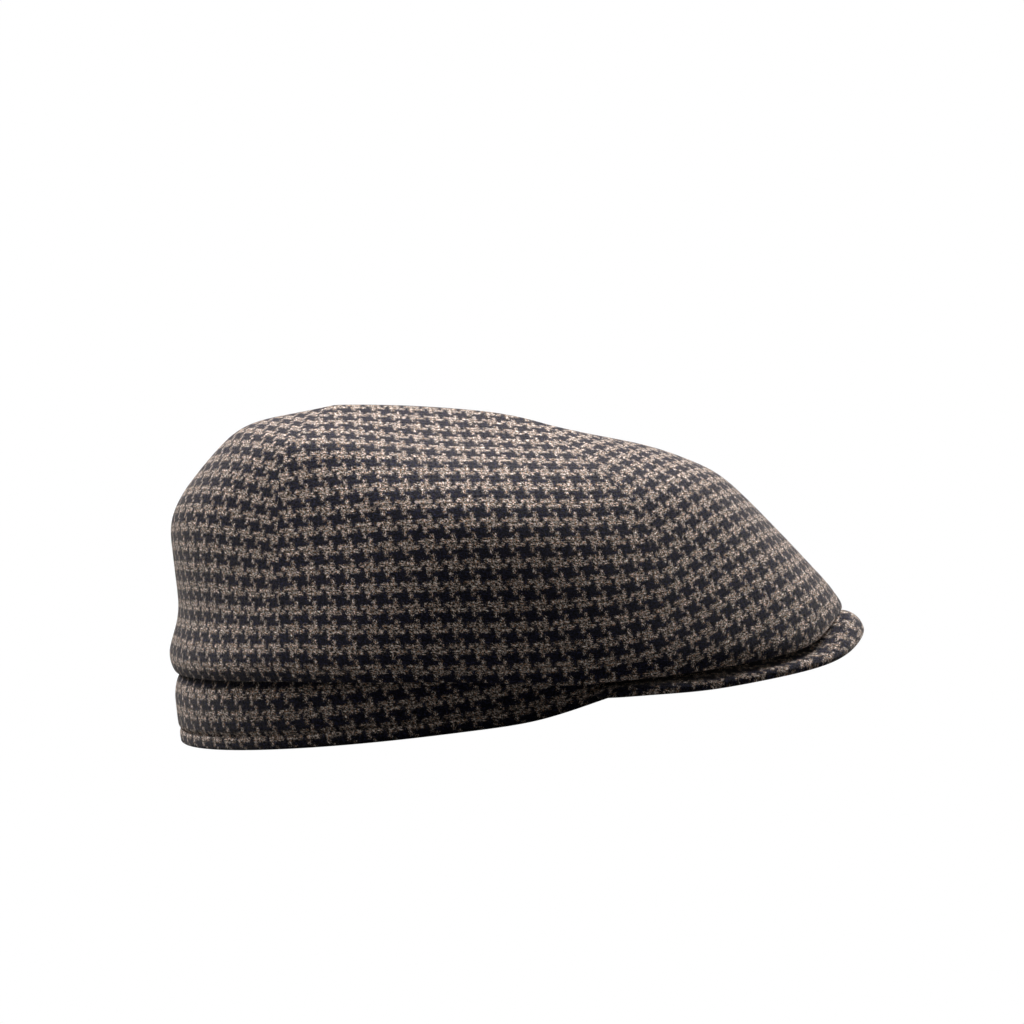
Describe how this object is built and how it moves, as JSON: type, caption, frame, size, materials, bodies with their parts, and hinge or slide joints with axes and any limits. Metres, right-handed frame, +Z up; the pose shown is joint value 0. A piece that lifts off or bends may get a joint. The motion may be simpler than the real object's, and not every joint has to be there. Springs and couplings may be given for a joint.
{
  "type": "flat cap",
  "caption": "Wool tweed flat cap with a panelled crown, a short stiff peak and a folded band round the rim; it is worn on the head.",
  "frame": {"origin": "middle of the cap's footprint, on the surface that the rim rests on", "axes": "+X from the back of the head to the tip of the peak, +Y to the wearer's left, +Z up through the crown"},
  "size_m": [0.2782, 0.1848, 0.1275],
  "materials": {
    "crown_tweed": "matte wool houndstooth tweed, tan and blue-black yarns",
    "band_tweed": "matte wool houndstooth tweed, tan and blue-black yarns",
    "peak_tweed": "matte wool houndstooth tweed, tan and blue-black yarns",
    "sewing_thread": "matte dark sewing thread"
  },
  "bodies": {
    "root": {"back_panel": "crown_tweed", "side_panel_right": "crown_tweed", "side_panel_left": "crown_tweed", "front_panel": "crown_tweed", "band": "band_tweed", "peak": "peak_tweed"}
  },
  "joints": []
}
